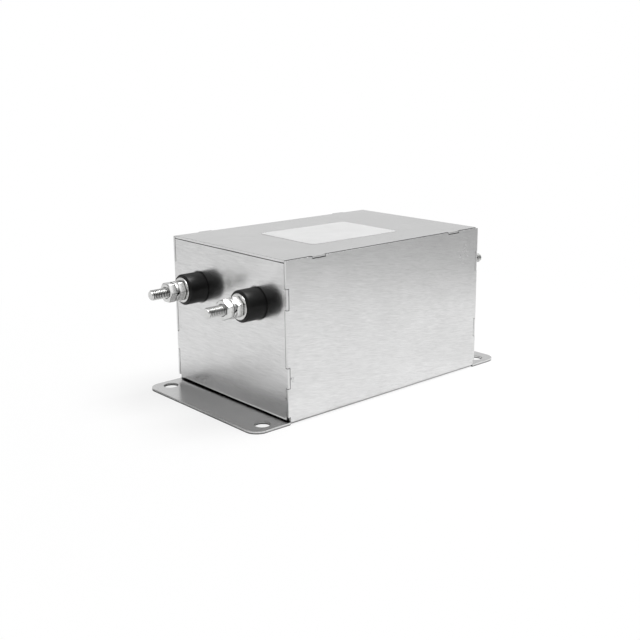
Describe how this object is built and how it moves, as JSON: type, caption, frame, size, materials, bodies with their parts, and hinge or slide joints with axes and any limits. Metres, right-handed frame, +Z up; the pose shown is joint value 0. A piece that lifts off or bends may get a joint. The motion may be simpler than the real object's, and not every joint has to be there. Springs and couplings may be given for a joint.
{
  "type": "emi line filter",
  "caption": "EMI line filter: folded tinned steel case with a flange at each end, a tabbed cover with a blank label, and threaded stud terminals on black bushes.",
  "frame": {"origin": "centre of the case's underside, on the surface it stands on", "axes": "+X along the case from the line end to the load end, +Y across it, +Z up"},
  "size_m": [0.1456, 0.07, 0.0601],
  "materials": {
    "tinned_steel": "tin-plated steel sheet with a fine rolled grain, satin",
    "label_film": "blank silver-grey polyester film, satin",
    "bush_plastic": "black moulded nylon, semi-gloss",
    "inner_bush_plastic": "dark grey moulded nylon, matt",
    "plated_steel": "bright nickel-plated steel",
    "tinned_brass": "tinned brass strip",
    "copper_wire": "bare tinned copper wire",
    "board_laminate": "glass-epoxy laminate under green solder mask",
    "carrier_nylon": "natural moulded nylon",
    "core_ferrite": "epoxy-coated sintered ferrite",
    "enamelled_copper": "enamelled copper wire, glossy",
    "box_capacitor_case": "yellow flame-proof plastic case",
    "disc_capacitor_coat": "blue epoxy dip coat",
    "resistor_coat": "lacquered film resistor, plain"
  },
  "bodies": {
    "root": {"chassis": "tinned_steel", "line_end_panel": "tinned_steel", "load_end_panel": "tinned_steel", "cover": "tinned_steel", "label": "label_film", "line_bush_1": "bush_plastic", "line_bush_2": "bush_plastic", "load_bush_1": "bush_plastic", "load_bush_2": "bush_plastic", "line_inner_bush_1": "inner_bush_plastic", "line_inner_bush_2": "inner_bush_plastic", "load_inner_bush_1": "inner_bush_plastic", "load_inner_bush_2": "inner_bush_plastic", "line_stud_1": "plated_steel", "line_stud_2": "plated_steel", "load_stud_1": "plated_steel", "load_stud_2": "plated_steel", "flat_washers": "plated_steel", "inner_nuts": "plated_steel", "lock_washers": "plated_steel", "outer_nuts": "plated_steel", "clamp_nuts": "plated_steel", "board_standoffs": "plated_steel", "board_screws": "plated_steel", "solder_lugs": "tinned_brass", "line_lead_1": "copper_wire", "line_lead_2": "copper_wire", "load_lead_1": "copper_wire", "load_lead_2": "copper_wire", "circuit_board": "board_laminate", "choke_carrier": "carrier_nylon", "choke_core": "core_ferrite", "winding_1": "enamelled_copper", "winding_2": "enamelled_copper", "line_box_capacitor": "box_capacitor_case", "load_box_capacitor": "box_capacitor_case", "line_disc_capacitor_1": "disc_capacitor_coat", "line_disc_capacitor_2": "disc_capacitor_coat", "load_disc_capacitor_1": "disc_capacitor_coat", "load_disc_capacitor_2": "disc_capacitor_coat", "bleed_resistor": "resistor_coat"}
  },
  "joints": []
}
